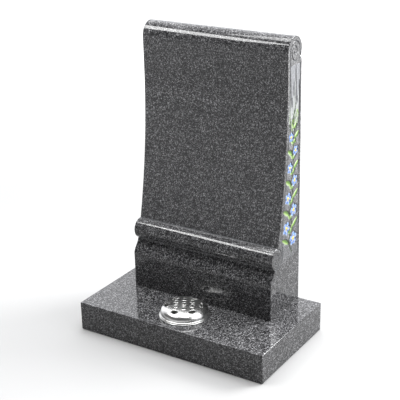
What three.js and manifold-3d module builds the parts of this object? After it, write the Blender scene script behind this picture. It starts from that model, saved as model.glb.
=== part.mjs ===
// Scroll headstone: a polished granite block cut as a rolled sheet, standing on a granite base slab
// that holds a flower pot under a pierced domed lid.
// Millimetres, +Z up, +Y to the back, +X to the right of a person who faces the stone.
// The origin is the middle of the base slab's underside.

import * as THREE from "three";
import { mergeVertices } from "three/addons/utils/BufferGeometryUtils.js";
import Module from "manifold-3d";

const wasm = await Module();
wasm.setup();

// Base slab
const BASE_WIDTH = 533;
const BASE_DEPTH = 305;
const BASE_HEIGHT = 76;
const BASE_ARRIS = 2;
const BORE_RADIUS = 51;

// Headstone block
const STONE_WIDTH = 406;
const STONE_HEIGHT = 686;
const STONE_DEPTH = 148;
const STONE_BACK_INSET = 2;
const STONE_ARRIS = 1.5;

// Leaning face, an arc that ends upright, and the roll above it; heights are above the base slab
const HEAD_THICKNESS = 70;
const FACE_RADIUS = 1700;
const FACE_UPRIGHT_FROM = 564;
const HEAD_CURL_END = -28;
const HEAD_NOTCH_DEPTH = 8.5;
const HEAD_NOTCH_DROP = 1.5;
const SHOULDER_RADIUS = 12;

// Roll under the face, and the reversed curve that runs from it down to the plinth
const FOOT_ROLL_RADIUS = 27;
const FOOT_ROLL_HEIGHT = 154.5;
const FOOT_ROLL_SET_BACK = 5;
const FOOT_ROLL_END = 243;
const PLINTH_HEIGHT = 92;

// Carving on the ends
const SHEET_THICKNESS = 12;
const LINE_WIDTH = 2.6;
const LINE_DEPTH = 1.8;
const BACK_MARGIN = 9;
const BACK_LINE_TOP = 694;
const PANEL_FOOT = 214;
const SHEET_LINE_LEAVES_ROLL = 375;
const SHEET_LINE_RISE = 34;
const VOLUTE_EYE = 5;
const VOLUTE_TURNS = 1.4;
const HEAD_VOLUTE_INSET = 3;
const HEAD_VOLUTE_TIGHTNESS = 2.2;
const FOOT_VOLUTE_INSET = 1;
const FOOT_VOLUTE_TIGHTNESS = 1.5;

// Carved spray on the right-hand end; swings and places are shares of the panel's width,
// petal, eye and leaf lengths are shares of a flower's radius, leans are degrees from upright
const FLOWERS = 8;
const SPRAY_FOOT = 254;
const SPRAY_HEAD = 520;
const FLOWER_RADIUS_LOW = 19;
const FLOWER_RADIUS_HIGH = 12.5;
const FLOWER_SWING = 0.22;
const FLOWER_DEPTH = 1.8;
const FLOWER_TURN = 18;
const FLOWER_TURN_STEP = 40;
const PETALS = 5;
const PETAL_PARTING = 0.6;
const FLOWER_EYE = 0.24;
const STEM_SWING = 0.1;
const STEM_WIDTH = 3;
const STEM_FOOT = 222;
const STEM_TOP = 600;
const LEAF_WIDTH = 12;
const LEAF_DEPTH = 1.5;
const LEAF_LENGTH = 2.1;
const LEAF_LEAN = 58;
const LEAF_DROP = 6;
const LEAF_BEND = 0.45;
const SIDE_LEAF_WIDTH = 9.5;
const SIDE_LEAF_LENGTH = 1.5;
const SIDE_LEAF_LEANS = [-34, 46];
const BLADES = 6;
const BLADE_WIDTH = 6;
const BLADE_LENGTH = 148;
const BLADE_STEP = 36;
const BLADE_SPREAD = 5;
const BLADE_MARGIN = 0.14;

// Flower pot and its lid; heights are above the base slab
const POT_RADIUS = 49;
const POT_DEPTH = 74;
const POT_WALL = 1.5;
const POT_SET_BACK = 3;
const FLANGE_RADIUS = 63;
const FLANGE_THICKNESS = 3;
const LID_RADIUS = 62;
const LID_BEAD = 2;
const LID_WALL = 1.5;
const LID_HEIGHT = 29;
const DOME_POWER = 4;
const DOME_SHARPNESS = 0.4;
const STEM_HOLE = 12.5;
const STEM_SLOT_LENGTH = 21;
const HOLES_PER_RING = 6;
const INNER_RING = 23.5;
const OUTER_RING = 43.5;
const ROUND_SEGMENTS = 40;

// Lines that the sizes above fix, in the plane of the stone's ends (y, z)
const backY = BASE_DEPTH / 2 - STONE_BACK_INSET;
const frontY = backY - STONE_DEPTH;
const faceTopY = backY - HEAD_THICKNESS;
const potY = (frontY - BASE_DEPTH / 2) / 2 + POT_SET_BACK;
const faceUprightZ = BASE_HEIGHT + FACE_UPRIGHT_FROM;

const headRoll = {
  radius: HEAD_THICKNESS / 2,
  y: backY - HEAD_THICKNESS / 2,
  z: BASE_HEIGHT + STONE_HEIGHT - HEAD_THICKNESS / 2,
};
const footRoll = {
  radius: FOOT_ROLL_RADIUS,
  y: frontY + FOOT_ROLL_SET_BACK + FOOT_ROLL_RADIUS,
  z: BASE_HEIGHT + FOOT_ROLL_HEIGHT,
};

const granite = new THREE.MeshStandardMaterial({ color: 0x54565c, roughness: 0.1, metalness: 0 });
const polishedMetal = new THREE.MeshStandardMaterial({ color: 0xd4d4d2, roughness: 0.15, metalness: 1 });

function solidOf(geometry) {
  const bare = geometry.clone();
  bare.deleteAttribute("normal");
  bare.deleteAttribute("uv");
  const merged = mergeVertices(bare, 1e-3);
  return new wasm.Manifold(
    new wasm.Mesh({
      numProp: 3,
      vertProperties: new Float32Array(merged.attributes.position.array),
      triVerts: new Uint32Array(merged.index.array),
    })
  );
}

function meshOf(name, solid, material) {
  const cut = solid.getMesh();
  const geometry = new THREE.BufferGeometry();
  geometry.setAttribute("position", new THREE.BufferAttribute(new Float32Array(cut.vertProperties), 3));
  geometry.setIndex(new THREE.BufferAttribute(new Uint32Array(cut.triVerts), 1));
  const faceted = geometry.toNonIndexed();
  faceted.computeVertexNormals();
  const mesh = new THREE.Mesh(faceted, material);
  mesh.name = name;
  return mesh;
}

// A point on a roll, at an angle from the back (0 degrees) over the top (90) to the front (180)
function onRoll(roll, degrees, radius = roll.radius) {
  const angle = THREE.MathUtils.degToRad(degrees);
  return new THREE.Vector2(roll.y + radius * Math.cos(angle), roll.z + radius * Math.sin(angle));
}

function arcOnRoll(roll, fromDegrees, toDegrees, steps, radius = roll.radius) {
  const points = [];
  for (let step = 0; step <= steps; step += 1) {
    points.push(onRoll(roll, THREE.MathUtils.lerp(fromDegrees, toDegrees, step / steps), radius));
  }
  return points;
}

// The front of the leaning face at a height
function faceAt(z) {
  const below = Math.max(0, faceUprightZ - z);
  return faceTopY - FACE_RADIUS + Math.sqrt(FACE_RADIUS ** 2 - below ** 2);
}

// The crease where the leaning face runs into the top of the foot roll, found by closing in on it
function creasePoint() {
  let z = footRoll.z + footRoll.radius;
  for (let round = 0; round < 8; round += 1) {
    z = footRoll.z + Math.sqrt(footRoll.radius ** 2 - (faceAt(z) - footRoll.y) ** 2);
  }
  return new THREE.Vector2(faceAt(z), z);
}

const crease = creasePoint();
const creaseAngle = THREE.MathUtils.radToDeg(Math.atan2(crease.y - footRoll.z, crease.x - footRoll.y));
const footNotch = onRoll(footRoll, FOOT_ROLL_END);
const headNotch = new THREE.Vector2(
  backY - HEAD_NOTCH_DEPTH,
  onRoll(headRoll, HEAD_CURL_END).y - HEAD_NOTCH_DROP
);

// The stone's end view, from the front of its foot along the bottom, up the back and down the front
function stoneOutline() {
  const shoulderRise = Math.sqrt(SHOULDER_RADIUS ** 2 - (SHOULDER_RADIUS - HEAD_NOTCH_DEPTH) ** 2);
  const shoulder = { radius: SHOULDER_RADIUS, y: backY - SHOULDER_RADIUS, z: headNotch.y - shoulderRise };
  const shoulderEnd = THREE.MathUtils.radToDeg(Math.asin(shoulderRise / SHOULDER_RADIUS));
  const points = [
    new THREE.Vector2(frontY, BASE_HEIGHT),
    new THREE.Vector2(backY, BASE_HEIGHT),
    ...arcOnRoll(shoulder, 0, shoulderEnd, 5),
    ...arcOnRoll(headRoll, HEAD_CURL_END, 180, 24),
  ];
  const faceSteps = 14;
  for (let step = 0; step <= faceSteps; step += 1) {
    const z = THREE.MathUtils.lerp(faceUprightZ, crease.y, step / faceSteps);
    points.push(new THREE.Vector2(faceAt(z), z));
  }
  points.push(...arcOnRoll(footRoll, creaseAngle, FOOT_ROLL_END, 18).slice(1));
  const plinthTop = BASE_HEIGHT + PLINTH_HEIGHT;
  const curveSteps = 8;
  for (let step = 1; step <= curveSteps; step += 1) {
    const part = step / curveSteps;
    const swell = (1 + Math.cos(Math.PI * part)) / 2;
    const z = THREE.MathUtils.lerp(footNotch.y, plinthTop, part);
    points.push(new THREE.Vector2(THREE.MathUtils.lerp(frontY, footNotch.x, swell), z));
  }
  return new THREE.Shape(points);
}

// Lays geometry drawn in (y, z) and extruded towards +Z into the model, so that it is extruded towards +X
function layAcross(geometry, startX) {
  const axes = new THREE.Matrix4().makeBasis(
    new THREE.Vector3(0, 1, 0),
    new THREE.Vector3(0, 0, 1),
    new THREE.Vector3(1, 0, 0)
  );
  return geometry.applyMatrix4(axes).translate(startX, 0, 0);
}

// A cutter that sinks a drawn shape into one end of the stone
function endCutter(shape, side, depth) {
  const geometry = new THREE.ExtrudeGeometry(shape, {
    depth: 2 * depth,
    bevelEnabled: false,
    curveSegments: 4,
  });
  return solidOf(layAcross(geometry, (side * STONE_WIDTH) / 2 - depth));
}

// The outline of a line of even width along a curve
function ribbon(curve, width, steps) {
  const left = [];
  const right = [];
  for (let step = 0; step <= steps; step += 1) {
    const point = curve.getPoint(step / steps);
    const along = curve.getTangent(step / steps);
    const aside = new THREE.Vector2(-along.y, along.x).multiplyScalar(width / 2);
    left.push(point.clone().add(aside));
    right.push(point.clone().sub(aside));
  }
  return new THREE.Shape([...left, ...right.reverse()]);
}

// The inner side of the rolled sheet: from the notch under the foot roll, behind that roll, up along the
// face and over the head roll to the notch at its back
function sheetLine() {
  const points = arcOnRoll(footRoll, FOOT_ROLL_END, SHEET_LINE_LEAVES_ROLL, 8);
  const rows = 8;
  const lowest = crease.y + SHEET_LINE_RISE;
  const innerRadius = headRoll.radius - SHEET_THICKNESS;
  for (let row = 0; row <= rows; row += 1) {
    const z = THREE.MathUtils.lerp(lowest, headRoll.z - innerRadius, row / rows);
    points.push(new THREE.Vector2(faceAt(z) + SHEET_THICKNESS, z));
  }
  points.push(...arcOnRoll(headRoll, 180, 0, 8, innerRadius));
  points.push(headNotch);
  return ribbon(new THREE.SplineCurve(points), LINE_WIDTH, 60);
}

// A volute that runs inwards from a point on a roll, the same way round as a clock seen from the right
function voluteLine(roll, startDegrees, inset, tightness) {
  const points = [];
  const steps = 30;
  for (let step = 0; step <= steps; step += 1) {
    const turn = (VOLUTE_TURNS * step) / steps;
    const radius = VOLUTE_EYE + (roll.radius - inset - VOLUTE_EYE) * Math.exp(-tightness * turn);
    points.push(onRoll(roll, startDegrees - 360 * turn, radius));
  }
  return ribbon(new THREE.SplineCurve(points), LINE_WIDTH, 36);
}

// The lines that bound the carved panel: up the back edge, and level above the plinth
function panelLines() {
  const backLine = new THREE.LineCurve(
    new THREE.Vector2(backY - BACK_MARGIN, PANEL_FOOT),
    new THREE.Vector2(backY - BACK_MARGIN, BACK_LINE_TOP)
  );
  const plinthLine = new THREE.LineCurve(footNotch, new THREE.Vector2(backY - BACK_MARGIN, PANEL_FOOT));
  return [ribbon(backLine, LINE_WIDTH, 1), ribbon(plinthLine, LINE_WIDTH, 1)];
}

// A point of the carved panel at a height, from its front line (0) to its back line (1)
function acrossPanel(z, part) {
  const front = Math.max(faceAt(z) + SHEET_THICKNESS, footRoll.y + footRoll.radius);
  return new THREE.Vector2(THREE.MathUtils.lerp(front, backY - BACK_MARGIN, part), z);
}

// A ring of petals with a round eye left standing in the middle
function flowerShape(centre, radius, turnDegrees) {
  const steps = 30;
  const points = [];
  for (let step = 0; step < steps; step += 1) {
    const angle = (2 * Math.PI * step) / steps;
    const swell = Math.abs(Math.cos((PETALS * angle) / 2));
    const reach = radius * THREE.MathUtils.lerp(PETAL_PARTING, 1, swell);
    const turned = angle + THREE.MathUtils.degToRad(turnDegrees);
    points.push(new THREE.Vector2(reach * Math.cos(turned), reach * Math.sin(turned)).add(centre));
  }
  const shape = new THREE.Shape(points);
  const eye = new THREE.Path().absarc(centre.x, centre.y, radius * FLOWER_EYE, 0, 2 * Math.PI, true);
  shape.holes.push(eye);
  return shape;
}

// A pointed leaf from its root, leaning at an angle from the horizontal
function leafShape(root, length, width, degrees) {
  const angle = THREE.MathUtils.degToRad(degrees);
  const along = new THREE.Vector2(Math.cos(angle), Math.sin(angle));
  const aside = new THREE.Vector2(-along.y, along.x).multiplyScalar(width);
  const tip = along.clone().multiplyScalar(length).add(root);
  const bend = along.clone().multiplyScalar(length * LEAF_BEND).add(root);
  const shape = new THREE.Shape();
  shape.moveTo(root.x, root.y);
  shape.quadraticCurveTo(bend.x - aside.x, bend.y - aside.y, tip.x, tip.y);
  shape.quadraticCurveTo(bend.x + aside.x, bend.y + aside.y, root.x, root.y);
  return shape;
}

const flowerPitch = (SPRAY_HEAD - SPRAY_FOOT) / (FLOWERS - 1);

// The winding main stem, which swings away from each flower that it passes
function stemPoint(z) {
  const count = (z - SPRAY_FOOT) / flowerPitch;
  return acrossPanel(z, 0.5 - STEM_SWING * Math.cos(Math.PI * count));
}

function stemLine() {
  const points = [];
  const steps = 24;
  for (let step = 0; step <= steps; step += 1) {
    points.push(stemPoint(THREE.MathUtils.lerp(STEM_FOOT, STEM_TOP, step / steps)));
  }
  return ribbon(new THREE.SplineCurve(points), STEM_WIDTH, 44);
}

function sprayCutters(side) {
  const cutters = [endCutter(stemLine(), side, LEAF_DEPTH)];
  for (let index = 0; index < FLOWERS; index += 1) {
    const z = SPRAY_FOOT + index * flowerPitch;
    const away = index % 2 === 0 ? 1 : -1;
    const radius = THREE.MathUtils.lerp(FLOWER_RADIUS_LOW, FLOWER_RADIUS_HIGH, index / (FLOWERS - 1));
    const centre = acrossPanel(z, 0.5 + away * FLOWER_SWING);
    const flower = flowerShape(centre, radius, FLOWER_TURN + FLOWER_TURN_STEP * index);
    cutters.push(endCutter(flower, side, FLOWER_DEPTH));
    const root = stemPoint(z - LEAF_DROP);
    const opposite = leafShape(root, radius * LEAF_LENGTH, LEAF_WIDTH, 90 + away * LEAF_LEAN);
    cutters.push(endCutter(opposite, side, LEAF_DEPTH));
    const between = stemPoint(z + flowerPitch / 2);
    for (const lean of SIDE_LEAF_LEANS) {
      const leaf = leafShape(between, radius * SIDE_LEAF_LENGTH, SIDE_LEAF_WIDTH, 90 + away * lean);
      cutters.push(endCutter(leaf, side, LEAF_DEPTH));
    }
  }
  for (let index = 0; index < BLADES; index += 1) {
    const part = THREE.MathUtils.lerp(BLADE_MARGIN, 1 - BLADE_MARGIN, index / (BLADES - 1));
    const root = acrossPanel(SPRAY_HEAD + flowerPitch / 2, part);
    const length = BLADE_LENGTH - BLADE_STEP * ((2 * index) % 3);
    const blade = leafShape(root, length, BLADE_WIDTH, 90 + BLADE_SPREAD * (0.5 - part));
    cutters.push(endCutter(blade, side, LEAF_DEPTH));
  }
  return cutters;
}

function headstone() {
  const block = new THREE.ExtrudeGeometry(stoneOutline(), {
    depth: STONE_WIDTH - 2 * STONE_ARRIS,
    bevelThickness: STONE_ARRIS,
    bevelSize: STONE_ARRIS,
    bevelOffset: -STONE_ARRIS,
    bevelSegments: 1,
  });
  const cutters = [];
  for (const side of [-1, 1]) {
    const lines = [
      sheetLine(),
      voluteLine(headRoll, HEAD_CURL_END, HEAD_VOLUTE_INSET, HEAD_VOLUTE_TIGHTNESS),
      voluteLine(footRoll, creaseAngle, FOOT_VOLUTE_INSET, FOOT_VOLUTE_TIGHTNESS),
      ...panelLines(),
    ];
    cutters.push(...lines.map((line) => endCutter(line, side, LINE_DEPTH)));
  }
  cutters.push(...sprayCutters(1));
  const carving = cutters.reduce((all, cutter) => all.add(cutter));
  const stone = solidOf(layAcross(block, STONE_ARRIS - STONE_WIDTH / 2)).subtract(carving);
  return meshOf("headstone", stone, granite);
}

function baseSlab() {
  const across = BASE_WIDTH / 2;
  const deep = BASE_DEPTH / 2;
  const plan = new THREE.Shape([
    new THREE.Vector2(-across + BASE_ARRIS, -deep),
    new THREE.Vector2(across - BASE_ARRIS, -deep),
    new THREE.Vector2(across, -deep + BASE_ARRIS),
    new THREE.Vector2(across, deep - BASE_ARRIS),
    new THREE.Vector2(across - BASE_ARRIS, deep),
    new THREE.Vector2(-across + BASE_ARRIS, deep),
    new THREE.Vector2(-across, deep - BASE_ARRIS),
    new THREE.Vector2(-across, -deep + BASE_ARRIS),
  ]);
  const slab = new THREE.ExtrudeGeometry(plan, {
    depth: BASE_HEIGHT - 2 * BASE_ARRIS,
    bevelThickness: BASE_ARRIS,
    bevelSize: BASE_ARRIS,
    bevelOffset: -BASE_ARRIS,
    bevelSegments: 1,
  }).translate(0, 0, BASE_ARRIS);
  const drill = new THREE.CylinderGeometry(BORE_RADIUS, BORE_RADIUS, 3 * BASE_HEIGHT, ROUND_SEGMENTS)
    .rotateX(Math.PI / 2)
    .translate(0, potY, 0);
  return meshOf("base_slab", solidOf(slab).subtract(solidOf(drill)), granite);
}

// Turns a profile of (radius, height) about the Z axis
function turned(profile) {
  return new THREE.LatheGeometry(profile, ROUND_SEGMENTS).rotateX(Math.PI / 2);
}

function flowerPot() {
  const inside = POT_RADIUS - POT_WALL;
  const profile = [
    new THREE.Vector2(0, -POT_DEPTH),
    new THREE.Vector2(POT_RADIUS, -POT_DEPTH),
    new THREE.Vector2(POT_RADIUS, 0),
    new THREE.Vector2(FLANGE_RADIUS, 0),
    new THREE.Vector2(FLANGE_RADIUS, FLANGE_THICKNESS),
    new THREE.Vector2(inside, FLANGE_THICKNESS),
    new THREE.Vector2(inside, POT_WALL - POT_DEPTH),
    new THREE.Vector2(0, POT_WALL - POT_DEPTH),
  ];
  return meshOf("flower_pot", solidOf(turned(profile)), polishedMetal);
}

// A flattened dome from its rim up to its middle, as points from the rim inwards
function domePoints(radius, rimHeight, height, steps) {
  const points = [];
  for (let step = 0; step <= steps; step += 1) {
    const reach = Math.cos((Math.PI * step) / (2 * steps));
    const rise = (1 - reach ** DOME_POWER) ** DOME_SHARPNESS;
    const across = step === steps ? 0 : radius * reach;
    points.push(new THREE.Vector2(across, rimHeight + (height - rimHeight) * rise));
  }
  return points;
}

function flowerPotLid() {
  const bead = { radius: LID_BEAD, y: LID_RADIUS - LID_BEAD, z: FLANGE_THICKNESS + LID_BEAD };
  const rimTop = bead.z + bead.radius;
  const domeRadius = bead.y;
  const outside = domePoints(domeRadius, rimTop, LID_HEIGHT, 8);
  const inside = domePoints(domeRadius - LID_WALL, FLANGE_THICKNESS, LID_HEIGHT - LID_WALL, 6);
  const profile = [...inside.reverse(), ...arcOnRoll(bead, -90, 90, 6), ...outside.slice(1)];
  const holes = [];
  const tall = 4 * LID_HEIGHT;
  const round = new THREE.CylinderGeometry(STEM_HOLE / 2, STEM_HOLE / 2, tall, 12).rotateX(Math.PI / 2);
  const slotShape = new THREE.Shape().absellipse(0, 0, STEM_HOLE / 2, STEM_SLOT_LENGTH / 2, 0, 2 * Math.PI);
  const slot = new THREE.ExtrudeGeometry(slotShape, { depth: tall, bevelEnabled: false, curveSegments: 14 });
  holes.push(solidOf(round));
  for (let index = 0; index < HOLES_PER_RING; index += 1) {
    const angle = (2 * Math.PI * index) / HOLES_PER_RING;
    const half = Math.PI / HOLES_PER_RING;
    holes.push(solidOf(round.clone().translate(INNER_RING, 0, 0).rotateZ(angle)));
    holes.push(solidOf(slot.clone().translate(OUTER_RING, 0, -tall / 2).rotateZ(angle + half)));
  }
  const lid = holes.reduce((shell, hole) => shell.subtract(hole), solidOf(turned(profile)));
  return meshOf("flower_pot_lid", lid, polishedMetal);
}

const flowerContainer = new THREE.Group();
flowerContainer.position.set(0, potY, BASE_HEIGHT);
flowerContainer.add(flowerPot(), flowerPotLid());

const memorial = new THREE.Group();
memorial.add(baseSlab(), headstone(), flowerContainer);

export default memorial;
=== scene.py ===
import math

import bmesh
import bpy
import numpy as np
from mathutils import Matrix, Vector


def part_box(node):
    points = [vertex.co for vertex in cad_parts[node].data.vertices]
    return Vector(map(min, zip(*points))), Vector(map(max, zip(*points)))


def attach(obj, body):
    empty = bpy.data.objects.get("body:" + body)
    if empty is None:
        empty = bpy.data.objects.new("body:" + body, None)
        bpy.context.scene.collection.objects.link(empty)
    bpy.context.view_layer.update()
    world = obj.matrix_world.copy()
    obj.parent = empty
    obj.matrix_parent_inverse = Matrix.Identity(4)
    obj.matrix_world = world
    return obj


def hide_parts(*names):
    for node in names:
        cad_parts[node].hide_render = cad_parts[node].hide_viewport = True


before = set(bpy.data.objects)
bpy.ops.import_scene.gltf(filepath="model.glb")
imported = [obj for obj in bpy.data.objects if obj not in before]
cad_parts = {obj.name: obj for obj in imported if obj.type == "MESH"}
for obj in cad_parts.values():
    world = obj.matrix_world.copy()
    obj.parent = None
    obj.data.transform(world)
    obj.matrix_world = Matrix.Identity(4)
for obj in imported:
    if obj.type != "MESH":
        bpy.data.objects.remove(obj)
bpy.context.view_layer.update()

# Base slab: one sawn slab of dark speckled granite, polished on its top and sides, sawn underneath.
# Its arrises are rounded by hand pad, and a hole is core-drilled through its front half for the pot.
base_low, base_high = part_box("base_slab")
pot_low, pot_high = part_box("flower_pot")
pot_x = (pot_low.x + pot_high.x) / 2
pot_y = (pot_low.y + pot_high.y) / 2
BASE_ARRIS = 0.002
BASE_ARRIS_STEPS = 3
LARGEST_ARRIS_FACE = 0.005
UNDERSIDE_FACING = -0.9
BORE_RADIUS = 0.051
ROUND_STEPS = 96
CRYSTALS_PER_METRE = 500.0
CRYSTAL_SHADES = (
    (0.0, (0.010, 0.010, 0.010)),
    (0.34, (0.014, 0.014, 0.015)),
    (0.52, (0.030, 0.030, 0.031)),
    (0.68, (0.074, 0.074, 0.076)),
    (0.84, (0.178, 0.178, 0.181)),
    (1.0, (0.285, 0.285, 0.289)),
)
FLAKES_PER_METRE = 1100.0
FLAKE_SHADES = ((0.0, (0.25, 0.25, 0.25)), (0.45, (0.9, 0.9, 0.9)), (1.0, (1.7, 1.7, 1.75)))
BUNCHES_PER_METRE = 70.0
BUNCH_DETAIL = 3.0
BUNCH_DARKEST = 0.7
BUNCH_LIGHTEST = 1.3
POLISH_ROUGHNESS = 0.06
POLISH_GLOSS = 0.34
SAWN_LIFT = (2.6, 2.6, 2.6, 1.0)
SAWN_ROUGHNESS = 0.75
SAW_MARK_SCALE = 60.0
SAW_MARK_WANDER = 2.0
SAW_MARK_STRENGTH = 0.15
SAW_MARK_DEPTH = 0.0005


def link(tree, source, target):
    tree.links.new(source, target)


def add_node(tree, kind, **settings):
    node = tree.nodes.new(kind)
    for name, value in settings.items():
        setattr(node, name, value)
    return node


def set_ramp(node, stops):
    ramp = node.color_ramp
    while len(ramp.elements) < len(stops):
        ramp.elements.new(1.0)
    for element, (place, colour) in zip(ramp.elements, stops):
        element.position = place
        element.color = (*colour, 1.0)


def multiply(tree, colour, shade):
    product = add_node(tree, "ShaderNodeMix", data_type="RGBA", blend_type="MULTIPLY")
    product.inputs["Factor"].default_value = 1.0
    link(tree, colour, product.inputs["A"])
    link(tree, shade, product.inputs["B"])
    return product.outputs["Result"]


def start_material(name):
    material = bpy.data.materials.new(name)
    material.use_nodes = True
    tree = material.node_tree
    return material, tree, tree.nodes["Principled BSDF"]


def shaded_cells(tree, where, cells_per_metre, shades):
    """Cells of stone packed together, each in one of the shades."""
    cells = add_node(tree, "ShaderNodeTexVoronoi")
    cells.inputs["Scale"].default_value = cells_per_metre
    link(tree, where.outputs["Object"], cells.inputs["Vector"])
    kinds = add_node(tree, "ShaderNodeValToRGB")
    set_ramp(kinds, shades)
    link(tree, cells.outputs["Color"], kinds.inputs["Fac"])
    return kinds.outputs["Color"]


def granite_grain(tree):
    """The crystals of the stone: mostly near-black, some grey, a few pale, a little bunched."""
    where = add_node(tree, "ShaderNodeTexCoord")
    crystals = shaded_cells(tree, where, CRYSTALS_PER_METRE, CRYSTAL_SHADES)
    flakes = shaded_cells(tree, where, FLAKES_PER_METRE, FLAKE_SHADES)
    bunching = add_node(tree, "ShaderNodeTexNoise")
    bunching.inputs["Scale"].default_value = BUNCHES_PER_METRE
    bunching.inputs["Detail"].default_value = BUNCH_DETAIL
    link(tree, where.outputs["Object"], bunching.inputs["Vector"])
    bunch_range = add_node(tree, "ShaderNodeMapRange")
    bunch_range.inputs["To Min"].default_value = BUNCH_DARKEST
    bunch_range.inputs["To Max"].default_value = BUNCH_LIGHTEST
    link(tree, bunching.outputs["Fac"], bunch_range.inputs["Value"])
    return multiply(tree, multiply(tree, crystals, flakes), bunch_range.outputs["Result"])


def polished_granite():
    material, tree, shader = start_material("polished_granite")
    link(tree, granite_grain(tree), shader.inputs["Base Color"])
    shader.inputs["Roughness"].default_value = POLISH_ROUGHNESS
    shader.inputs["Specular IOR Level"].default_value = POLISH_GLOSS
    return material


def sawn_granite():
    """Unpolished stone is paler than the polished face, and fine saw marks cross it."""
    material, tree, shader = start_material("sawn_granite")
    lifted = add_node(tree, "ShaderNodeMix", data_type="RGBA", blend_type="MULTIPLY")
    lifted.inputs["Factor"].default_value = 1.0
    lifted.inputs["B"].default_value = SAWN_LIFT
    link(tree, granite_grain(tree), lifted.inputs["A"])
    link(tree, lifted.outputs["Result"], shader.inputs["Base Color"])
    shader.inputs["Roughness"].default_value = SAWN_ROUGHNESS
    where = add_node(tree, "ShaderNodeTexCoord")
    saw_marks = add_node(tree, "ShaderNodeTexWave", bands_direction="X")
    saw_marks.inputs["Scale"].default_value = SAW_MARK_SCALE
    saw_marks.inputs["Distortion"].default_value = SAW_MARK_WANDER
    link(tree, where.outputs["Object"], saw_marks.inputs["Vector"])
    bump = add_node(tree, "ShaderNodeBump")
    bump.inputs["Strength"].default_value = SAW_MARK_STRENGTH
    bump.inputs["Distance"].default_value = SAW_MARK_DEPTH
    link(tree, saw_marks.outputs["Fac"], bump.inputs["Height"])
    link(tree, bump.outputs["Normal"], shader.inputs["Normal"])
    return material


def make_piece(name, shape, materials):
    mesh = bpy.data.meshes.new(name)
    shape.to_mesh(mesh)
    shape.free()
    for material in materials:
        mesh.materials.append(material)
    piece = bpy.data.objects.new(name, mesh)
    bpy.context.scene.collection.objects.link(piece)
    return piece


def cut_away(piece, cutter):
    """Cuts the cutter's shape out of the piece for good, and removes the cutter."""
    cut = piece.modifiers.new("cut", "BOOLEAN")
    cut.operation = "DIFFERENCE"
    cut.solver = "EXACT"
    cut.object = cutter
    settled = bpy.context.evaluated_depsgraph_get()
    whole = piece.data
    piece.data = bpy.data.meshes.new_from_object(piece.evaluated_get(settled))
    piece.modifiers.clear()
    bpy.data.meshes.remove(whole)
    bpy.data.meshes.remove(cutter.data)


polished = polished_granite()
sawn = sawn_granite()

slab = bmesh.new()
bmesh.ops.create_cube(slab, size=1.0)
bmesh.ops.scale(slab, vec=base_high - base_low, verts=slab.verts)
bmesh.ops.translate(slab, vec=(base_low + base_high) / 2, verts=slab.verts)
bmesh.ops.bevel(
    slab, geom=slab.edges[:], offset=BASE_ARRIS, offset_type="OFFSET", segments=BASE_ARRIS_STEPS,
    profile=0.5, affect="EDGES", material=-1,
)
for face in slab.faces:
    face.smooth = face.calc_area() < LARGEST_ARRIS_FACE
    face.material_index = 1 if face.normal.z < UNDERSIDE_FACING else 0
base_slab = make_piece("base_slab_stone", slab, (polished, sawn))

drill = bmesh.new()
bmesh.ops.create_cone(
    drill, cap_ends=True, segments=ROUND_STEPS, radius1=BORE_RADIUS, radius2=BORE_RADIUS,
    depth=3 * (base_high.z - base_low.z), matrix=Matrix.Translation((pot_x, pot_y, base_low.z)),
)
for face in drill.faces:
    face.material_index = 1
cut_away(base_slab, make_piece("base_slab_drill", drill, (polished, sawn)))
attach(base_slab, "root")
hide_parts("base_slab")

# Headstone: one block of the same granite, wire-sawn and polished as a sheet that rolls back at its
# head and forward at its foot, above a plain plinth, and bedded on the base slab.
# Volutes are cut into both ends, and the right end has a sandblasted spray of flowers, painted by hand; the
# cuts of both ends carry painted shade.
stone_low, stone_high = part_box("headstone")
front_y = stone_low.y
back_y = stone_high.y
foot_z = stone_low.z
stone_half = (stone_high.x - stone_low.x) / 2
HEAD_THICKNESS = 0.070
FACE_RADIUS = 1.700
FACE_UPRIGHT_FROM = 0.564
HEAD_CURL_END = math.radians(-28)
HEAD_NOTCH_DEPTH = 0.0085
HEAD_NOTCH_DROP = 0.0015
SHOULDER_RADIUS = 0.012
FOOT_ROLL_RADIUS = 0.027
FOOT_ROLL_HEIGHT = 0.1545
FOOT_ROLL_SET_BACK = 0.005
FOOT_ROLL_END = math.radians(243)
PLINTH_HEIGHT = 0.092
STONE_ARRIS = 0.0016
CREASE_PASSES = 8

head_roll = Vector((back_y - HEAD_THICKNESS / 2, stone_high.z - HEAD_THICKNESS / 2))
head_radius = HEAD_THICKNESS / 2
foot_roll = Vector((front_y + FOOT_ROLL_SET_BACK + FOOT_ROLL_RADIUS, foot_z + FOOT_ROLL_HEIGHT))
face_top_y = back_y - HEAD_THICKNESS
face_upright_z = foot_z + FACE_UPRIGHT_FROM
plinth_top = foot_z + PLINTH_HEIGHT


def on_roll(centre, radius, angle):
    return centre + Vector((math.cos(angle), math.sin(angle))) * radius


def face_at(z):
    """How far back the leaning face lies at a height."""
    below = np.maximum(0.0, face_upright_z - z)
    return face_top_y - FACE_RADIUS + np.sqrt(FACE_RADIUS**2 - below**2)


# The crease, where the face meets the foot roll, is closed in on from the top of the roll.
crease_z = foot_roll.y + FOOT_ROLL_RADIUS
for closing_in in range(CREASE_PASSES):
    crease_z = foot_roll.y + math.sqrt(FOOT_ROLL_RADIUS**2 - (face_at(crease_z) - foot_roll.x) ** 2)
crease_angle = math.atan2(crease_z - foot_roll.y, face_at(crease_z) - foot_roll.x)
foot_notch = on_roll(foot_roll, FOOT_ROLL_RADIUS, FOOT_ROLL_END)
curl_end = on_roll(head_roll, head_radius, HEAD_CURL_END)
head_notch = Vector((back_y - HEAD_NOTCH_DEPTH, curl_end.y - HEAD_NOTCH_DROP))
shoulder_rise = math.sqrt(SHOULDER_RADIUS**2 - (SHOULDER_RADIUS - HEAD_NOTCH_DEPTH) ** 2)
shoulder_z = head_notch.y - shoulder_rise


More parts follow.
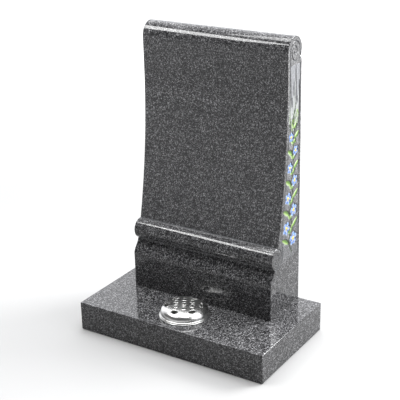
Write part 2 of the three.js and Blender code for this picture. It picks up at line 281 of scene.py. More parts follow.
def roll_half_width(z, centre, radius):
    return np.sqrt(np.maximum(0.0, radius**2 - (z - centre.y) ** 2))


def front_edge(z):
    """The front of the stone's end view: plinth, reversed curve, foot roll, leaning face, head roll."""
    part = np.clip((foot_notch.y - z) / (foot_notch.y - plinth_top), 0.0, 1.0)
    below_roll = front_y + (foot_notch.x - front_y) * (1 + np.cos(np.pi * part)) / 2
    on_foot = foot_roll.x - roll_half_width(z, foot_roll, FOOT_ROLL_RADIUS)
    on_head = head_roll.x - roll_half_width(z, head_roll, head_radius)
    return np.select(
        [z < foot_notch.y, z < crease_z, z < head_roll.y], [below_roll, on_foot, face_at(z)], on_head
    )


def back_edge(z):
    """The back of the end view: flat, then the rounded shoulder, the notch and the head roll."""
    on_shoulder = back_y - SHOULDER_RADIUS + np.sqrt(
        np.maximum(0.0, SHOULDER_RADIUS**2 - np.maximum(0.0, z - shoulder_z) ** 2)
    )
    in_notch = head_notch.x + (curl_end.x - head_notch.x) * (z - head_notch.y) / HEAD_NOTCH_DROP
    on_head = head_roll.x + roll_half_width(z, head_roll, head_radius)
    return np.select([z < head_notch.y, z < curl_end.y], [on_shoulder, in_notch], on_head)


# The end is laid out as rows from the foot to the head, each running from the front edge to the back.
# The columns crowd together at both edges, where the arris is rounded, and the rows stop just short of
# the top of the head roll, where the front and back edges would meet.
PLINTH_ROWS = 10
REVERSED_CURVE_ROWS = 24
FOOT_ROLL_ROWS = 56
FACE_ROW_SPACING = 0.00105
FACE_ROWS_ABOVE_CREASE = 0.0002
SHOULDER_ROWS = 10
NOTCH_ROWS = 3
HEAD_ROLL_ROWS = 62
HEAD_ROWS_STOP = math.radians(87)
MIDDLE_COLUMNS = 63
ARRIS_COLUMNS = (0.0, 0.22, 0.55, 1.0)
ARRIS_LARGEST_SHARE = 0.3

foot_angles = np.linspace(FOOT_ROLL_END, math.pi - crease_angle, FOOT_ROLL_ROWS)
head_angles = np.linspace(HEAD_CURL_END, HEAD_ROWS_STOP, HEAD_ROLL_ROWS)
face_rows = int((shoulder_z - crease_z) / FACE_ROW_SPACING)
row_z = np.concatenate((
    np.linspace(foot_z, plinth_top, PLINTH_ROWS, endpoint=False),
    np.linspace(plinth_top, foot_notch.y, REVERSED_CURVE_ROWS, endpoint=False),
    foot_roll.y + FOOT_ROLL_RADIUS * np.sin(foot_angles[:-1]),
    np.linspace(crease_z + FACE_ROWS_ABOVE_CREASE, shoulder_z, face_rows, endpoint=False),
    np.linspace(shoulder_z, head_notch.y, SHOULDER_ROWS, endpoint=False),
    np.linspace(head_notch.y, curl_end.y, NOTCH_ROWS, endpoint=False),
    head_roll.y + head_radius * np.sin(head_angles),
))
row_front = front_edge(row_z)
row_back = back_edge(row_z)
row_width = row_back - row_front
arris_steps = np.minimum(STONE_ARRIS, ARRIS_LARGEST_SHARE * row_width)[:, None] * np.array(ARRIS_COLUMNS)
middle = np.linspace(0.0, 1.0, MIDDLE_COLUMNS + 2)[1:-1]
inner_width = row_width[:, None] - 2 * arris_steps[:, -1:]
end_y = row_front[:, None] + np.hstack((
    arris_steps,
    arris_steps[:, -1:] + inner_width * middle,
    row_width[:, None] - arris_steps[:, ::-1],
))
end_z = np.repeat(row_z[:, None], end_y.shape[1], axis=1)


def edge_distance():
    """About how far each point of the end lies inside its outline, for rounding the arris."""
    slope_front = np.gradient(row_front, row_z)
    slope_back = np.gradient(row_back, row_z)
    to_front = (end_y - row_front[:, None]) / np.sqrt(1 + slope_front[:, None] ** 2)
    to_back = (row_back[:, None] - end_y) / np.sqrt(1 + slope_back[:, None] ** 2)
    inside = np.minimum(to_front, to_back)
    in_head = head_radius - np.hypot(end_y - head_roll.x, end_z - head_roll.y)
    in_foot = FOOT_ROLL_RADIUS - np.hypot(end_y - foot_roll.x, end_z - foot_roll.y)
    foot_front = (end_z > foot_notch.y) & (end_z < crease_z) & (end_y < foot_roll.x)
    inside = np.where(end_z > head_roll.y, in_head, inside)
    return np.maximum(0.0, np.where(foot_front, in_foot, inside))


def arris_drop():
    """How far the rounded arris falls away from the flat of the end."""
    short = np.clip(1 - edge_distance() / STONE_ARRIS, 0.0, 1.0)
    return STONE_ARRIS * (1 - np.sqrt(1 - short**2))


# Carved lines on both ends: the inner side of the rolled sheet, a volute in each roll and the panel's edge.
# Heights on the panel are measured from the floor, and a volute of higher tightness winds in sooner.
SHEET_THICKNESS = 0.012
SHEET_LINE_FROM = 0.034
SHEET_LINE_POINTS = 40
FOOT_LINE_END = math.radians(375)
FOOT_LINE_POINTS = 26
HEAD_LINE_POINTS = 30
LINE_WIDTH = 0.0028
LINE_DEPTH = 0.0018
GROOVE_FULLNESS = 0.7
BACK_MARGIN = 0.009
BACK_LINE_TOP = 0.694
PANEL_FOOT = 0.214
VOLUTE_EYE = 0.005
VOLUTE_TURNS = 1.4
VOLUTE_POINTS = 64
HEAD_VOLUTE_INSET = 0.003
HEAD_VOLUTE_TIGHTNESS = 2.2
FOOT_VOLUTE_INSET = 0.001
FOOT_VOLUTE_TIGHTNESS = 1.5


def distance_to(points):
    """How far each point of the end lies from a line through the given points."""
    nearest = np.full(end_y.shape, np.inf)
    for start, stop in zip(points[:-1], points[1:]):
        along = np.array(stop) - np.array(start)
        reach = (end_y - start[0]) * along[0] + (end_z - start[1]) * along[1]
        part = np.clip(reach / (along @ along), 0.0, 1.0)
        gap = np.hypot(end_y - start[0] - part * along[0], end_z - start[1] - part * along[1])
        nearest = np.minimum(nearest, gap)
    return nearest


def roll_arc(centre, radius, start, stop, count):
    return [on_roll(centre, radius, angle) for angle in np.linspace(start, stop, count)]


def sheet_line():
    """The inner side of the rolled sheet, from the notch under the foot roll up to the notch at the head."""
    heights = np.linspace(crease_z + SHEET_LINE_FROM, head_roll.y, SHEET_LINE_POINTS, endpoint=False)
    rising = [Vector((float(face_at(z)) + SHEET_THICKNESS, z)) for z in heights]
    return [
        *roll_arc(foot_roll, FOOT_ROLL_RADIUS, FOOT_ROLL_END, FOOT_LINE_END, FOOT_LINE_POINTS),
        *rising,
        *roll_arc(head_roll, head_radius - SHEET_THICKNESS, math.pi, 0.0, HEAD_LINE_POINTS),
        head_notch,
    ]


def volute_line(centre, start_angle, start_radius, tightness):
    """A line that winds inwards from the edge of a roll."""
    turns = np.linspace(0.0, VOLUTE_TURNS, VOLUTE_POINTS)
    radii = VOLUTE_EYE + (start_radius - VOLUTE_EYE) * np.exp(-tightness * turns)
    return [on_roll(centre, radius, start_angle - 2 * math.pi * turn) for turn, radius in zip(turns, radii)]


def groove(distance, width, depth):
    """A rounded groove along a line."""
    return depth * np.clip(1 - (2 * distance / width) ** 2, 0.0, 1.0) ** GROOVE_FULLNESS


def carved_lines():
    """The depth of the cut lines, and how far each point of the end lies from the nearest of them."""
    panel_corner = Vector((back_y - BACK_MARGIN, PANEL_FOOT))
    lines = (
        sheet_line(),
        volute_line(head_roll, HEAD_CURL_END, head_radius - HEAD_VOLUTE_INSET, HEAD_VOLUTE_TIGHTNESS),
        volute_line(foot_roll, crease_angle, FOOT_ROLL_RADIUS - FOOT_VOLUTE_INSET, FOOT_VOLUTE_TIGHTNESS),
        (panel_corner, Vector((back_y - BACK_MARGIN, BACK_LINE_TOP))),
        (foot_notch, panel_corner),
    )
    nearest = np.minimum.reduce([distance_to(line) for line in lines])
    return groove(nearest, LINE_WIDTH, LINE_DEPTH), nearest


# The spray: flowers to alternate sides of a winding stem, leaves between, and long blades above.
# Swings and margins are shares of the panel's width, leaf lengths are shares of a flower's radius,
# and leans are degrees from upright.
FLOWERS = 8
SPRAY_FOOT = 0.254
SPRAY_HEAD = 0.520
FLOWER_RADIUS_LOW = 0.019
FLOWER_RADIUS_HIGH = 0.0125
FLOWER_SWING = 0.22
FLOWER_DEPTH = 0.0024
FLOWER_TURN = math.radians(18)
FLOWER_TURN_STEP = math.radians(40)
STEM_SWING = 0.1
STEM_WIDTH = 0.003
STEM_FOOT = 0.222
STEM_TOP = 0.600
STEM_POINTS = 90
LEAF_WIDTH = 0.012
LEAF_DEPTH = 0.0019
LEAF_LENGTH = 2.1
LEAF_LEAN = 58
LEAF_DROP = 0.006
SIDE_LEAF_WIDTH = 0.0095
SIDE_LEAF_LENGTH = 1.5
SIDE_LEAF_LEANS = (-34, 46)
BLADES = 6
BLADE_WIDTH = 0.006
BLADE_LENGTH = 0.148
BLADE_STEP = 0.036
BLADE_SPREAD = math.radians(5)
BLADE_MARGIN = 0.14
OUTLINE_WIDTH = 0.0014
PETAL_BLUE = np.array((0.055, 0.135, 0.46))
PETAL_PALE = np.array((0.17, 0.30, 0.64))
EYE_YELLOW = np.array((0.56, 0.47, 0.10))
LEAF_GREEN = np.array((0.075, 0.16, 0.03))
LEAF_LIGHT = np.array((0.25, 0.39, 0.09))
PAINT_WHITE = np.array((0.50, 0.52, 0.51))
# The darkest colour is dark paint in some places and painted shade in the cut outlines, grooves and partings.
DARK_PAINT_AND_SHADE = np.array((0.016, 0.018, 0.020))
SHADED_TONE = 0.4
GLEAM_PAINT = 0.55
TINY = 1e-6
flower_pitch = (SPRAY_HEAD - SPRAY_FOOT) / (FLOWERS - 1)


def across_panel(z, part):
    """A point of the carved panel at a height, from its front line (0) to its back line (1)."""
    front = max(float(face_at(z)) + SHEET_THICKNESS, foot_roll.x + FOOT_ROLL_RADIUS)
    return Vector((front + (back_y - BACK_MARGIN - front) * part, z))


def stem_point(z):
    count = (z - SPRAY_FOOT) / flower_pitch
    return across_panel(z, 0.5 - STEM_SWING * math.cos(math.pi * count))


def smooth_step(low, high, values):
    part = np.clip((values - low) / (high - low), 0.0, 1.0)
    return part * part * (3 - 2 * part)


class Relief:
    """The sunk depth, the matt sandblasted areas and the paint of one carved end, painted shade in its cuts
    included.
    """

    def __init__(self):
        self.depth = np.zeros(end_y.shape)
        self.matt = np.zeros(end_y.shape)
        self.paint = np.zeros((*end_y.shape, 4))

    def sink(self, where, depth):
        self.depth = np.where(where, depth, self.depth)

    def cover(self, where, colour, strength=1.0):
        """Lays a coat of paint where it is asked for, thin or thick by its strength from 0 to 1."""
        coat = np.where(where, strength, 0.0)
        before = self.paint[..., 3]
        after = coat + before * (1 - coat)
        share = (coat / np.maximum(after, TINY))[..., None]
        self.paint[..., :3] = self.paint[..., :3] * (1 - share) + colour * share
        self.paint[..., 3] = after


# A leaf: how its half width swells and tapers, how deep its two halves are sunk at the midrib and how they
# slope from there, as shares of its depth, and how strong the painted shade of its outline and midrib is.
# The green part is the share of the leaf's length over which its green fades into the colour of its tip.
LEAF_SWELL = 1.25
LEAF_TAPER = 0.5
LEAF_OVERRUN = 0.03
LIT_HALF_SINK = 0.35
LIT_HALF_SLOPE = 0.5
SHADED_HALF_SINK = 1.0
SHADED_HALF_SLOPE = -0.35
LEAF_OUTLINE_SINK = 1.15
LIT_OUTLINE_SHADE = 0.35
SHADED_OUTLINE_SHADE = 0.85
LEAF_GLEAM_OUTSIDE = 0.5
LEAF_GLEAM_FROM = 0.2
LEAF_GLEAM_TO = 0.8
MIDRIB_SHADE = 0.45
LEAF_GREEN_PART = 1.4
BLADE_GREEN_PART = 0.4


def carve_leaf(relief, root, length, width, angle, tip_paint, green_part):
    """A pointed leaf folded along its midrib, one half lit and one half shaded, in a cut outline with painted
    shade.
    """
    side = end_y - root.x
    rise = end_z - root.y
    along = (side * math.cos(angle) + rise * math.sin(angle)) / length
    aside = rise * math.cos(angle) - side * math.sin(angle)
    lit = aside > 0
    inner = np.clip(along, 0, 1)
    half = 2 * width * inner * (1 - inner) * (LEAF_SWELL - LEAF_TAPER * inner)
    gap = np.abs(aside) - half
    within = (along > -LEAF_OVERRUN) & (along < 1 + LEAF_OVERRUN)
    blade = within & (gap < 0)
    outline = within & (gap >= 0) & (gap < OUTLINE_WIDTH)
    spread = np.abs(aside) / np.maximum(half, TINY)
    lit_fold = LIT_HALF_SINK + LIT_HALF_SLOPE * spread
    shaded_fold = SHADED_HALF_SINK + SHADED_HALF_SLOPE * spread
    relief.sink(blade, LEAF_DEPTH * np.where(lit, lit_fold, shaded_fold))
    relief.sink(outline, LEAF_DEPTH * LEAF_OUTLINE_SINK)
    # Painted shade in the cut outline, heavier along the shaded half.
    relief.cover(outline, DARK_PAINT_AND_SHADE, np.where(lit, LIT_OUTLINE_SHADE, SHADED_OUTLINE_SHADE))
    fade = smooth_step(0.0, green_part, inner)[..., None]
    relief.cover(blade & ~lit, LEAF_GREEN * (1 - fade) + tip_paint * SHADED_TONE * fade)
    relief.cover(blade & lit, LEAF_LIGHT * (1 - fade) + tip_paint * fade)
    gleam = (spread > LEAF_GLEAM_OUTSIDE) & (along > LEAF_GLEAM_FROM) & (along < LEAF_GLEAM_TO)
    relief.cover(blade & lit & gleam, PAINT_WHITE, GLEAM_PAINT)
    # Painted shade along the midrib, where the shaded half lies deeper than the lit half.
    relief.cover(blade & (np.abs(aside) < OUTLINE_WIDTH / 2), DARK_PAINT_AND_SHADE, MIDRIB_SHADE)


# A flower: its petals swell from 0 where two of them meet to 1 along their middles. Reaches are shares of the
# flower's radius, spreads run from 0 at its centre to 1 at a petal's edge, and sinks are shares of its depth.
PETALS = 5
PETAL_PARTING = 0.6
PETAL_CREST = 0.55
PETAL_CREST_SINK = 0.35
PETAL_CREST_SLOPE = 1.4
PARTING_SWELL = 0.35
PARTING_SINK = 0.5
PETAL_OUTLINE_SINK = 0.9
PETAL_OUTLINE_SHADE = 0.7
PETAL_PALE_FROM = 0.35
PETAL_PALE_FULL = 0.9
PETAL_TIP_FROM = 0.82
PETAL_TIP_SWELL = 0.8
PARTING_SHADE_SWELL = 0.2
PARTING_SHADE_FROM = 0.34
PARTING_SHADE_TO = 1.02
YELLOW_STREAK_SWELL = 0.9
YELLOW_STREAK_TO = 0.6
STREAK_AND_PARTING_SHADE = 0.8
FLOWER_EYE = 0.24
EYE_SINK = 0.1
EYE_SLOPE = 0.5
EYE_PAINT_SHARE = 1.15
EYE_MIDDLE_SHARE = 0.4
EYE_MIDDLE_PAINT = 0.6


def carve_flower(relief, centre, radius, turn):
    """Dished petals about a raised eye, parted by cuts, with painted shade in their cut outline and dark
    strokes of painted shade between their tips.
    """
    side = end_y - centre.x
    rise = end_z - centre.y
    reach = np.hypot(side, rise)
    swell = np.abs(np.cos(PETALS * (np.arctan2(rise, side) - turn) / 2))
    edge = radius * (PETAL_PARTING + (1 - PETAL_PARTING) * swell)
    spread = reach / edge
    petal = spread < 1.0
    outline = (spread >= 1.0) & (reach < edge + OUTLINE_WIDTH)
    eye_radius = FLOWER_EYE * radius
    parting = PARTING_SINK * np.clip(PARTING_SWELL - swell, 0, 1)
    dish = PETAL_CREST_SINK + PETAL_CREST_SLOPE * np.abs(spread - PETAL_CREST) + parting
    relief.sink(petal, FLOWER_DEPTH * np.minimum(dish, 1.0))
    relief.sink(outline, FLOWER_DEPTH * PETAL_OUTLINE_SINK)
    relief.sink(reach < eye_radius, FLOWER_DEPTH * (EYE_SINK + EYE_SLOPE * (reach / eye_radius) ** 2))
    # Painted shade in the cut outline around the petals.
    relief.cover(outline, DARK_PAINT_AND_SHADE, PETAL_OUTLINE_SHADE)
    pale = smooth_step(PETAL_PALE_FROM, PETAL_PALE_FULL, spread)[..., None]
    relief.cover(petal, PETAL_BLUE * (1 - pale) + PETAL_PALE * pale)
    relief.cover(petal & (spread > PETAL_TIP_FROM) & (swell > PETAL_TIP_SWELL), PAINT_WHITE, GLEAM_PAINT)
    # Dark strokes of painted shade along the partings, running out between the petals' tips.
    in_parting_shade = (reach > PARTING_SHADE_FROM * radius) & (reach < PARTING_SHADE_TO * radius)
    relief.cover((swell < PARTING_SHADE_SWELL) & in_parting_shade, DARK_PAINT_AND_SHADE, STREAK_AND_PARTING_SHADE)
    in_streak = (swell > YELLOW_STREAK_SWELL) & (reach < YELLOW_STREAK_TO * radius)
    relief.cover(petal & in_streak, EYE_YELLOW, STREAK_AND_PARTING_SHADE)
    relief.cover(reach < EYE_PAINT_SHARE * eye_radius, EYE_YELLOW)
    relief.cover(reach < EYE_MIDDLE_SHARE * eye_radius, DARK_PAINT_AND_SHADE, EYE_MIDDLE_PAINT)


# Painted strokes: the stem, thin twigs with buds along it, and grass stalks that bow over above it.
# Their edges and the rims of the buds carry painted shade.
# Every third bud is white, and stalks and blades come in three lengths by turns.
STROKE_PAINT = 0.9
STROKE_EDGE_SHADE = 0.6
TWIG_WIDTH = 0.0014
TWIG_LENGTH = 0.019
TWIG_LEANS = (-64, 30, 70, -24)
TWIG_SET_BACK = 0.25
BUD_RADIUS = 0.0026
BUD_SINK = 0.6
WHITE_BUD_EVERY = 3
STALKS = 5
STALK_WIDTH = 0.0022
STALK_HEIGHT = 0.082
STALK_SHORTENING = 0.12
STALK_BOW = 0.013
STALK_ARCH = 2.2
STALK_POINTS = 14
FIRST_STALK = 0.14
STALK_SPACING = 0.18
LENGTHS_BY_TURNS = 3


def carve_stroke(relief, points, width, colour):
    """One cut line of paint, with painted shade along its edges."""
    gap = distance_to(points)
    relief.sink(gap < width / 2, groove(gap, width, LEAF_DEPTH))
    # Painted shade along the groove's edges.
    relief.cover(gap < width / 2 + OUTLINE_WIDTH / 2, DARK_PAINT_AND_SHADE, STROKE_EDGE_SHADE)
    relief.cover(gap < width / 2, colour, STROKE_PAINT)


def carve_twigs(relief):
    for index in range(2 * FLOWERS):
        root = stem_point(SPRAY_FOOT + (index - TWIG_SET_BACK) * flower_pitch / 2)
        lean = math.radians(90 + TWIG_LEANS[index % len(TWIG_LEANS)])
        tip = on_roll(root, TWIG_LENGTH, lean)
        carve_stroke(relief, (root, tip), TWIG_WIDTH, DARK_PAINT_AND_SHADE)
        bud = np.hypot(end_y - tip.x, end_z - tip.y)
        relief.sink(bud < BUD_RADIUS, LEAF_DEPTH * BUD_SINK)
        # Painted shade around the rim of the sunk bud.
        relief.cover(bud < BUD_RADIUS + OUTLINE_WIDTH / 2, DARK_PAINT_AND_SHADE, STROKE_EDGE_SHADE)
        relief.cover(bud < BUD_RADIUS, PETAL_PALE if index % WHITE_BUD_EVERY else PAINT_WHITE)


def carve_stalks(relief):
    for index in range(STALKS):
        root = across_panel(SPRAY_HEAD - flower_pitch / 2, FIRST_STALK + STALK_SPACING * index)
        bow = STALK_BOW * (1 if index % 2 else -1)
        height = STALK_HEIGHT * (1 - STALK_SHORTENING * ((2 * index) % LENGTHS_BY_TURNS))
        points = [
            root + Vector((bow * part**2, height * math.sin(STALK_ARCH * part)))
            for part in np.linspace(0, 1, STALK_POINTS)
        ]
        carve_stroke(relief, points, STALK_WIDTH, LEAF_LIGHT if index % 2 else PAINT_WHITE)


def carve_blades(relief):
    for index in range(BLADES):
        part = BLADE_MARGIN + (1 - 2 * BLADE_MARGIN) * index / (BLADES - 1)
        root = across_panel(SPRAY_HEAD + flower_pitch / 2, part)
        length = BLADE_LENGTH - BLADE_STEP * ((2 * index) % LENGTHS_BY_TURNS)
        lean = math.pi / 2 + BLADE_SPREAD * (0.5 - part)
        carve_leaf(relief, root, length, BLADE_WIDTH, lean, PAINT_WHITE, BLADE_GREEN_PART)


def carve_spray(relief):
    """The whole spray, from what lies behind to what lies in front."""
    carve_blades(relief)
    carve_stalks(relief)
    stem = [stem_point(z) for z in np.linspace(STEM_FOOT, STEM_TOP, STEM_POINTS)]
    carve_stroke(relief, stem, STEM_WIDTH, LEAF_GREEN * SHADED_TONE)
    carve_twigs(relief)
    flowers = []
    for index in range(FLOWERS):
        z = SPRAY_FOOT + index * flower_pitch
        away = 1 if index % 2 == 0 else -1
        radius = FLOWER_RADIUS_LOW + (FLOWER_RADIUS_HIGH - FLOWER_RADIUS_LOW) * index / (FLOWERS - 1)
        lean = math.radians(90 + away * LEAF_LEAN)
        root = stem_point(z - LEAF_DROP)
        carve_leaf(relief, root, radius * LEAF_LENGTH, LEAF_WIDTH, lean, LEAF_LIGHT, LEAF_GREEN_PART)
        for tilt in SIDE_LEAF_LEANS:
            lean = math.radians(90 + away * tilt)
            root = stem_point(z + flower_pitch / 2)
            length = radius * SIDE_LEAF_LENGTH
            carve_leaf(relief, root, length, SIDE_LEAF_WIDTH, lean, LEAF_LIGHT, LEAF_GREEN_PART)
        centre = across_panel(z, 0.5 + away * FLOWER_SWING)
        flowers.append((centre, radius, FLOWER_TURN + FLOWER_TURN_STEP * index))
    for flower in flowers:
        carve_flower(relief, *flower)


# The panel's ground is lightly blasted, more so towards its head, where it is almost white.
# Whatever is cut into the end is matt too, and the carved lines are darkened with painted shade.
GROUND_MATT = 0.22
HEAD_MATT = 0.75
HEAD_MATT_FROM = 0.50
HEAD_MATT_FULL = 0.62
CUT_MATT = 0.8
CUT_MATT_FROM = 0.0002
CUT_MATT_FULL = 0.0008
LINE_SHADE = 0.85
BLASTED_SHARE = 0.55
BLASTED_GREY = (0.33, 0.34, 0.36, 1.0)
BLASTED_ROUGHNESS = 0.6


def carved_end(with_spray):
    relief = Relief()
    lines, to_line = carved_lines()
    relief.depth = lines
    if with_spray:
        carve_spray(relief)
        in_panel = (end_y > face_at(end_z) + SHEET_THICKNESS) & (end_y < back_y - BACK_MARGIN)
        in_panel &= (end_z > PANEL_FOOT) & (end_z < BACK_LINE_TOP)
        in_panel &= np.hypot(end_y - foot_roll.x, end_z - foot_roll.y) > FOOT_ROLL_RADIUS
        ground = GROUND_MATT + (HEAD_MATT - GROUND_MATT) * smooth_step(HEAD_MATT_FROM, HEAD_MATT_FULL, end_z)
        relief.matt = np.where(in_panel, ground, 0.0)
    cut = CUT_MATT * smooth_step(CUT_MATT_FROM, CUT_MATT_FULL, relief.depth)
    relief.matt = np.maximum(relief.matt, cut)
    # Painted shade along the carved lines.
    relief.cover(to_line < LINE_WIDTH / 2, DARK_PAINT_AND_SHADE, LINE_SHADE)
    return relief


def carved_granite():
    """Polished granite that turns matt and pale where it is blasted, under the painter's colours and the
    painted shade in its cuts.
    """
    material, tree, shader = start_material("carved_granite")
    grain = granite_grain(tree)
    matt = add_node(tree, "ShaderNodeAttribute", attribute_name="matt")
    paint = add_node(tree, "ShaderNodeAttribute", attribute_name="paint")
    blasted = add_node(tree, "ShaderNodeMix", data_type="RGBA")
    blasted.inputs["Factor"].default_value = BLASTED_SHARE
    blasted.inputs["B"].default_value = BLASTED_GREY
    link(tree, grain, blasted.inputs["A"])
    stone = add_node(tree, "ShaderNodeMix", data_type="RGBA")
    link(tree, matt.outputs["Fac"], stone.inputs["Factor"])
    link(tree, grain, stone.inputs["A"])
    link(tree, blasted.outputs["Result"], stone.inputs["B"])
    painted = add_node(tree, "ShaderNodeMix", data_type="RGBA")
    link(tree, paint.outputs["Alpha"], painted.inputs["Factor"])
    link(tree, stone.outputs["Result"], painted.inputs["A"])
    link(tree, paint.outputs["Color"], painted.inputs["B"])
    link(tree, painted.outputs["Result"], shader.inputs["Base Color"])
    shader.inputs["Specular IOR Level"].default_value = POLISH_GLOSS
    rough = add_node(tree, "ShaderNodeMapRange")
    rough.inputs["To Min"].default_value = POLISH_ROUGHNESS
    rough.inputs["To Max"].default_value = BLASTED_ROUGHNESS
    dullness = add_node(tree, "ShaderNodeMath", operation="MAXIMUM")
    link(tree, matt.outputs["Fac"], dullness.inputs[0])
    link(tree, paint.outputs["Alpha"], dullness.inputs[1])
    link(tree, dullness.outputs["Value"], rough.inputs["Value"])
    link(tree, rough.outputs["Result"], shader.inputs["Roughness"])
    return material


def end_grid(block, side, relief):
    """One end of the block: a grid one unit wide, bent to the outline and sunk where it is carved."""
    rows, columns = end_y.shape
    verts = bmesh.ops.create_grid(block, x_segments=columns - 1, y_segments=rows - 1, size=0.5)["verts"]
    end_x = side * (stone_half - arris_drop() - relief.depth)
    places = []
    for vert in verts:
        column = round((vert.co.x + 0.5) * (columns - 1))
        row = round((vert.co.y + 0.5) * (rows - 1))
        places.append(row * columns + column)
        vert.co = (end_x[row, column], end_y[row, column], end_z[row, column])
    edges = dict.fromkeys(edge for vert in verts for edge in vert.link_edges)
    return places, [edge for edge in edges if edge.is_boundary]


# The block: both carved ends, and the polished skin that joins their rims from end to end.
SKIN_SHARP_FROM = math.radians(22)

right_relief = carved_end(with_spray=True)
left_relief = carved_end(with_spray=False)
block = bmesh.new()
right_places, right_rim = end_grid(block, 1, right_relief)
left_places, left_rim = end_grid(block, -1, left_relief)
skin = bmesh.ops.bridge_loops(block, edges=right_rim + left_rim)["faces"]
bmesh.ops.recalc_face_normals(block, faces=block.faces[:])
for face in block.faces:
    face.smooth = True
for face in skin:
    for edge in face.edges:
        edge.smooth = edge.calc_face_angle(0.0) < SKIN_SHARP_FROM
for edge in right_rim + left_rim:
    edge.smooth = False

headstone = make_piece("headstone_scroll", block, (carved_granite(),))
matt_values = np.concatenate((
    right_relief.matt.reshape(-1)[right_places], left_relief.matt.reshape(-1)[left_places]
))
paint_values = np.concatenate((
    right_relief.paint.reshape(-1, 4)[right_places], left_relief.paint.reshape(-1, 4)[left_places]
))
matt_layer = headstone.data.attributes.new("matt", "FLOAT", "POINT")
matt_layer.data.foreach_set("value", matt_values)
paint_layer = headstone.data.color_attributes.new("paint", "FLOAT_COLOR", "POINT")
paint_layer.data.foreach_set("color", paint_values.reshape(-1))
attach(headstone, "root")
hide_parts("headstone")

# Flower pot: a thin cup of spun aluminium, open at the top, with a rounded flange around its mouth.
# It hangs by the flange in the hole drilled through the base slab, and lifts out.
POT_RADIUS = 0.049
POT_WALL = 0.0015
POT_CORNER = 0.004
POT_MOUTH_ROUND = 0.001
POT_MOUTH_POINTS = 4
FLANGE_THICKNESS = 0.003
FLANGE_POINTS = 9
CORNER_POINTS = 6
POT_COLOUR = (0.72, 0.72, 0.71)
POT_ROUGHNESS = 0.28
METAL_SHARP_FROM = math.radians(35)
MERGE_WITHIN = 1e-6
SPINNING_RING_SCALE = 420.0
SPINNING_RING_WANDER = 0.6
SPINNING_RING_STRENGTH = 0.05
SPINNING_RING_DEPTH = 0.0002
CLOUDS_PER_METRE = 45.0
CLOUD_FROM = 0.3
CLOUD_TO = 0.7
CLOUD_SHADE = 0.88
CLOUD_BRIGHTER = 0.8
CLOUD_DULLER = 1.3


def smooth_metal(shape):
    """Turns all faces outwards and shades them smooth, but for the sharp edges."""
    bmesh.ops.recalc_face_normals(shape, faces=shape.faces[:])
    for face in shape.faces:
        face.smooth = True
    for edge in shape.edges:
        edge.smooth = edge.calc_face_angle(0.0) < METAL_SHARP_FROM


def spin_profile(points):
    """Turns a profile of (radius, height) a full turn about the upright axis of the pot."""
    shape = bmesh.new()
    verts = [shape.verts.new((pot_x + radius, pot_y, height)) for radius, height in points]
    edges = [shape.edges.new(pair) for pair in zip(verts[:-1], verts[1:])]
    bmesh.ops.spin(
        shape, geom=verts + edges, cent=(pot_x, pot_y, 0.0), axis=(0.0, 0.0, 1.0),
        angle=2 * math.pi, steps=ROUND_STEPS, use_merge=True,
    )
    bmesh.ops.remove_doubles(shape, verts=shape.verts[:], dist=MERGE_WITHIN)
    smooth_metal(shape)
    return shape


def corner(radius, height, size, start, stop, count):
    """A rounded corner of a profile, as points on an arc about its own centre."""
    angles = np.linspace(math.radians(start), math.radians(stop), count)
    return [(radius + size * math.cos(a), height + size * math.sin(a)) for a in angles]


def spun_aluminium(name, colour, roughness):
    """Bright metal with the fine rings that spinning leaves."""
    material, tree, shader = start_material(name)
    shader.inputs["Metallic"].default_value = 1.0
    where = add_node(tree, "ShaderNodeTexCoord")
    place = add_node(tree, "ShaderNodeMapping")
    place.inputs["Location"].default_value = (-pot_x, -pot_y, 0.0)
    link(tree, where.outputs["Object"], place.inputs["Vector"])
    rings = add_node(tree, "ShaderNodeTexWave", wave_type="RINGS", rings_direction="Z")
    rings.inputs["Scale"].default_value = SPINNING_RING_SCALE
    rings.inputs["Distortion"].default_value = SPINNING_RING_WANDER
    link(tree, place.outputs["Vector"], rings.inputs["Vector"])
    clouds = add_node(tree, "ShaderNodeTexNoise")
    clouds.inputs["Scale"].default_value = CLOUDS_PER_METRE
    link(tree, place.outputs["Vector"], clouds.inputs["Vector"])
    tint = add_node(tree, "ShaderNodeValToRGB")
    set_ramp(tint, ((CLOUD_FROM, tuple(CLOUD_SHADE * part for part in colour)), (CLOUD_TO, colour)))
    link(tree, clouds.outputs["Fac"], tint.inputs["Fac"])
    link(tree, tint.outputs["Color"], shader.inputs["Base Color"])
    dull = add_node(tree, "ShaderNodeMapRange")
    dull.inputs["To Min"].default_value = roughness * CLOUD_BRIGHTER
    dull.inputs["To Max"].default_value = roughness * CLOUD_DULLER
    link(tree, clouds.outputs["Fac"], dull.inputs["Value"])
    link(tree, dull.outputs["Result"], shader.inputs["Roughness"])
    bump = add_node(tree, "ShaderNodeBump")
    bump.inputs["Strength"].default_value = SPINNING_RING_STRENGTH
    bump.inputs["Distance"].default_value = SPINNING_RING_DEPTH
    link(tree, rings.outputs["Fac"], bump.inputs["Height"])
    link(tree, bump.outputs["Normal"], shader.inputs["Normal"])
    return material


